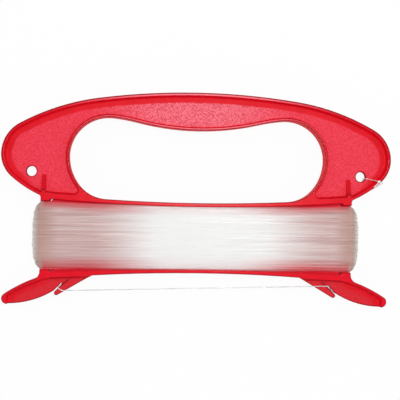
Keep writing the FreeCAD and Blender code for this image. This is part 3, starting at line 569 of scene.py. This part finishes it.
def line_core():
    """What shows between the outer turns: lower turns, with the red crossbars behind their edges."""
    m = Paint("line_core")
    colour, streaks = line_shade(m, 0.0056, 1.0)
    return m.with_sockets({
        "Base Color": colour,
        "Roughness": 0.45,
        "Normal": m.bump(streaks, 0.35, 0.00012),
    })


def line_single(name, clearness, pale):
    """A single strand, seen by itself."""
    m = Paint(name)
    shade = m.fade(m.noise(300, 1.0), 0.3, 0.7)
    return m.with_sockets({
        "Base Color": m.mix(shade, tone(pale, pale + 6, pale + 6), tone(252, 255, 255)),
        "Roughness": 0.12,
        "Specular IOR Level": 0.7,
        "Transmission Weight": clearness,
        "IOR": 1.53,
    })


# ---- the wound line -------------------------------------------------------------------------


def thickness_at(y):
    """How far the winding stands off the posts at a height y."""
    near_edge = min(WIND_HIGH.y - y, y - WIND_LOW.y)
    if near_edge >= WIND_SHOULDER:
        return WIND_THICK
    rise = WIND_THICK - WIND_EDGE
    bulge = (WIND_SHOULDER**2 + rise**2) / (2 * rise)
    along = WIND_SHOULDER - max(near_edge, 0.0)
    return WIND_THICK - bulge + math.sqrt(bulge**2 - along**2)


def corner_rise(x):
    """How far the window's rounded corner reaches past the post's end, beside the post."""
    across = min(abs(x) - WINDOW_SIDE, WINDOW_CORNER)
    return math.sqrt(WINDOW_CORNER**2 - across**2)


def top_at(x):
    """The winding's upper limit: close under the window's edge, and level near the posts."""
    if abs(x) > WINDOW_SIDE:
        return POST_TOP - DECK_GAP + corner_rise(x)
    return WINDOW_TOP + WINDOW_TOP_RADIUS - math.sqrt((WINDOW_TOP_RADIUS + DECK_GAP) ** 2 - x**2)


def bottom_at(x):
    """The winding's lower limit, found as the upper one is."""
    if abs(x) > WINDOW_SIDE:
        return POST_BOTTOM + DECK_GAP - corner_rise(x)
    reach = math.sqrt((WINDOW_BOTTOM_RADIUS + DECK_GAP) ** 2 - x**2)
    return WINDOW_BOTTOM - WINDOW_BOTTOM_RADIUS + reach


def end_hollow(x, y):
    """How far the bends past the posts lie inside the CAD solid: rounder, and bumpy."""
    past = max(abs(x) - POST_OUTER + BEND_START, 0.0) / (WIND_THICK + BEND_START)
    bumps = BUMPS_LEFT if x < 0 else BUMPS_RIGHT
    wave = 0.5 + 0.28 * math.sin(y * 2300 + 1.3) + 0.22 * math.sin(y * 1370 + 0.4)
    from_edge = min(WIND_HIGH.y - y, y - WIND_LOW.y)
    inwards = min(max(from_edge / BEND_HOLLOW_EDGE, 0.0), 1.0)
    return (bumps * wave + BEND_HOLLOW * math.sin(math.pi * inwards)) * past


def racetrack(extra=()):
    """Points once round both posts, on their surface, each with its outward direction.

    Front and back get further points at the distances extra from the middle.
    """
    half_x, half_z = POST_OUTER - POST_CORNER, POST_HALF_DEPTH - POST_CORNER
    points = []
    for side_x, side_z, start in ((1, 1, 90), (1, -1, 0), (-1, -1, -90), (-1, 1, -180)):
        for i in range(BEND_STEPS + 1):
            angle = math.radians(start - 90 * i / BEND_STEPS)
            out = Vector((math.cos(angle), 0, math.sin(angle)))
            corner = Vector((side_x * half_x, 0, side_z * half_z + MID_LEVEL))
            points.append((corner + out * POST_CORNER, out))
        if side_x * side_z < 0:
            first = points[-1][0]
            last = Vector((-first.x, 0, first.z))
            shares = [0.5 - 0.5 * math.cos(math.pi * i / SIDE_STEPS) for i in range(1, SIDE_STEPS)]
            shares += [0.5 + side * reach / half_x / 2 for reach in extra for side in (-1, 1)]
            points += [(first.lerp(last, share), out) for share in sorted(shares)]
    return points


def skin(mesh, rings):
    """Faces from ring to ring, and from the last ring to the first."""
    for here, after in zip(rings, rings[1:] + rings[:1]):
        for k in range(len(here)):
            mesh.faces.new((here[k], here[k - 1], after[k - 1], after[k]))


def add_loop(mesh, track, level, slope, depth, sides=6):
    """One turn of line: a closed tube that slopes a little across the winding, depth below its face."""
    radius = LINE / 2
    rings = []
    for place, out in track:
        y = level + slope * place.x
        stand = thickness_at(y) - radius - depth
        centre = place + out * max(stand, radius)
        centre += Vector((0, y, 0)) - out * end_hollow(centre.x, y)
        ring = []
        for k in range(sides):
            turn = 2 * math.pi * k / sides
            rim = out * math.cos(turn) * radius + Vector((0, math.sin(turn) * radius, 0))
            ring.append(mesh.verts.new(centre + rim))
        rings.append(ring)
    skin(mesh, rings)


def finish_mesh(mesh, name, material, smooth=True):
    """A new object from this mesh, with its faces turned outwards."""
    data = bpy.data.meshes.new(name)
    bmesh.ops.recalc_face_normals(mesh, faces=mesh.faces)
    mesh.to_mesh(data)
    mesh.free()
    for polygon in data.polygons:
        polygon.use_smooth = smooth
    piece = bpy.data.objects.new(name, data)
    data.materials.append(material)
    SCENE.collection.objects.link(piece)
    return piece


def winding_turns(material):
    """The outer turns, side by side, and the crossing ones that fan out along the decks."""
    chance = random.Random(7)
    mesh = bmesh.new()
    track = racetrack()
    radius = LINE / 2
    low, high = bottom_at(0) + radius, top_at(0) - radius
    for depth, pitch in LAYERS:
        count = int((high - low) / pitch)
        for i in range(count + 1):
            level = low + (high - low) * i / count + chance.uniform(-LEVEL_STRAY, LEVEL_STRAY)
            level = min(max(level, low), high)
            slope = chance.uniform(-SLOPE_STRAY, SLOPE_STRAY)
            add_loop(mesh, track, level, slope, depth + chance.uniform(0.0, DEPTH_STRAY))
    for i in range(CROSSINGS):
        touch = FAN_REACH * (i / (CROSSINGS - 1) * 2 - 1)
        below = radius + chance.uniform(0.0, FAN_DROP)
        slope = touch / WINDOW_TOP_RADIUS
        level = top_at(touch) - slope * touch - below
        add_loop(mesh, track, level, slope, chance.uniform(0.0, FAN_DEPTH))
        touch *= FAN_LOWER_SHARE
        slope = -touch / WINDOW_BOTTOM_RADIUS
        level = bottom_at(touch) - slope * touch + below
        add_loop(mesh, track, level, slope, chance.uniform(0.0, FAN_DEPTH))
    return finish_mesh(mesh, "winding_turns", material)


def winding_core(material):
    """The inner turns as one closed body, just under the outer ones."""
    mesh = bmesh.new()
    beside_post = [WINDOW_SIDE + WINDOW_CORNER * share for share in (0.0, 0.4, 0.7, 0.9, 1.0)]
    track = racetrack(beside_post)

    def ring_at(share, on_post=False):
        """Points round the track, at a share of the way from the lower limit to the upper one."""
        ring = []
        for place, out in track:
            low, high = bottom_at(place.x), top_at(place.x)
            y = low + (high - low) * share
            stand = CORE_ON_POST if on_post else max(thickness_at(y) - CORE_INSET, CORE_LEAST)
            centre = place + out * stand + Vector((0, y, 0))
            hollow = end_hollow(centre.x, y) if stand > CORE_INSET else 0.0
            ring.append(mesh.verts.new(centre - out * hollow))
        return ring

    outer = [ring_at(i / CORE_STEPS) for i in range(CORE_STEPS + 1)]
    skin(mesh, outer + [ring_at(1, True), ring_at(0, True)])
    return finish_mesh(mesh, "winding_core", material)


# ---- the parked tail and the knot -----------------------------------------------------------


def strand(name, material):
    """An empty curve as thick as the line."""
    curve = bpy.data.curves.new(name, "CURVE")
    curve.dimensions = "3D"
    curve.bevel_depth = LINE / 2
    curve.bevel_resolution = 3
    curve.use_fill_caps = True
    curve.materials.append(material)
    piece = bpy.data.objects.new(name, curve)
    SCENE.collection.objects.link(piece)
    return piece


def add_spline(piece, points):
    """A smooth run of line with these control points."""
    spline = piece.data.splines.new("NURBS")
    spline.points.add(len(points) - 1)
    for target, place in zip(spline.points, points):
        target.co = (*place, 1.0)
    spline.order_u = 3
    spline.use_endpoint_u = True
    spline.resolution_u = 12


def parked_tail(material):
    """The line's free end, parked in the slits."""
    piece = strand("line_tail_strand", material)
    add_spline(piece, TAIL_ROUTE)
    return piece


def knot_turns(material):
    """The anchor knot: the line wrapped round itself, with a short cut end on the rim."""
    middle = (KNOT_LOW + KNOT_HIGH) / 2
    side = KNOT_AXIS.cross(Vector((0, 0, 1))).normalized()
    lift = side.cross(KNOT_AXIS).normalized()
    piece = strand("anchor_knot_turns", material)
    turns = []
    for i in range(KNOT_STEPS + 1):
        turn = 2 * math.pi * KNOT_WRAPS * i / KNOT_STEPS
        round_axis = (side * math.cos(turn) + lift * math.sin(turn)) * KNOT_RADIUS
        turns.append(middle + KNOT_AXIS * KNOT_LENGTH * (i / KNOT_STEPS - 0.5) + round_axis)
    add_spline(piece, turns)
    add_spline(piece, [middle + Vector(step) for step in KNOT_CUT_END])
    return piece


# ---- camera, lights and floor ---------------------------------------------------------------


def add_camera():
    """The photo's camera, at the named view."""
    back = Vector((-math.sin(VIEW_YAW), 0, math.cos(VIEW_YAW)))
    lean = Vector((-math.sin(VIEW_ROLL), math.cos(VIEW_ROLL), 0))
    up = (lean - back * lean.dot(back)).normalized()
    right = up.cross(back)
    data = bpy.data.cameras.new("camera")
    data.lens = VIEW_LENS
    data.sensor_width = 36.0
    data.clip_start, data.clip_end = 0.01, 10.0
    camera = bpy.data.objects.new("camera", data)
    turn = Matrix((right, up, back)).transposed().to_4x4()
    camera.matrix_world = Matrix.Translation(VIEW_TARGET + back * VIEW_DISTANCE) @ turn
    SCENE.collection.objects.link(camera)
    SCENE.camera = camera


def add_lamp(name, place, size, power):
    """A round lamp that points at the winder's middle."""
    data = bpy.data.lights.new(name, "AREA")
    data.shape = "DISK"
    data.size = size
    data.energy = power
    lamp = bpy.data.objects.new(name, data)
    lamp.location = place
    lamp.rotation_mode = "QUATERNION"
    lamp.rotation_quaternion = (Vector(place) - LAMP_AIM).to_track_quat("Z", "Y")
    SCENE.collection.objects.link(lamp)


def seen_directly(m):
    """1 where a surface is seen by the camera, in a mirror or through glass."""
    path = m.add("LightPath")
    seen = path.outputs["Is Camera Ray"]
    for ray in ("Is Glossy Ray", "Is Transmission Ray"):
        seen = m.math("MAXIMUM", seen, path.outputs[ray])
    return seen


def light_world():
    """Soft light from all sides, under a background that is seen as pure white."""
    world = bpy.data.worlds.new("studio")
    world.use_nodes = True
    m = Nodes(world.node_tree)
    background = m.tree.nodes["Background"]
    background.inputs["Color"].default_value = (1, 1, 1, 1)
    strength = m.fade(seen_directly(m), 0.0, 1.0, WORLD_LIGHT, WORLD_SEEN)
    m.join(strength, background.inputs["Strength"])
    SCENE.world = world


def add_floor():
    """A white table, which keeps the object's soft shadow."""
    mesh = bmesh.new()
    bmesh.ops.create_grid(mesh, x_segments=1, y_segments=1, size=FLOOR_HALF)
    material = bpy.data.materials.new("floor_white")
    material.use_nodes = True
    m = Nodes(material.node_tree)
    shader = m.tree.nodes["Principled BSDF"]
    shader.inputs["Base Color"].default_value = (0.9, 0.9, 0.9, 1)
    shader.inputs["Roughness"].default_value = 0.8
    glow = m.add("Emission")
    glow.inputs["Color"].default_value = (1, 1, 1, 1)
    blend = m.add("MixShader")
    m.join(m.product(seen_directly(m), FLOOR_GLOW), blend.inputs[0])
    m.join(shader.outputs[0], blend.inputs[1])
    m.join(glow.outputs[0], blend.inputs[2])
    m.join(blend.outputs[0], m.tree.nodes["Material Output"].inputs["Surface"])
    floor = finish_mesh(mesh, "floor", material, smooth=False)
    floor.location.z = CAD_BOUNDS[0].z - FLOOR_GAP


# ---- the scene ------------------------------------------------------------------------------


def dress(node, material):
    """Gives a CAD node its material."""
    NODES[node].data.materials.clear()
    NODES[node].data.materials.append(material)


def main():
    SCENE.view_settings.view_transform = "Standard"
    add_camera()
    light_world()
    add_floor()
    for name, (place, size, power) in LAMPS.items():
        add_lamp(name, place, size, power)

    single = line_single("line_single", 0.3, 222)
    dress("winder_frame", frame_red())
    dress("anchor_loop", line_single("line_loop", 0.8, 236))

    turns = winding_turns(line_wound())
    core = winding_core(line_core())
    for piece in (turns, core):
        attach(piece, "root")
    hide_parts("line_winding")
    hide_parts("line_winding")

    tail = parked_tail(single)
    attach(tail, "root")
    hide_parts("line_tail")

    knot = knot_turns(line_single("line_knot", 0.1, 244))
    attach(knot, "root")
    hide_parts("anchor_knot")


main()
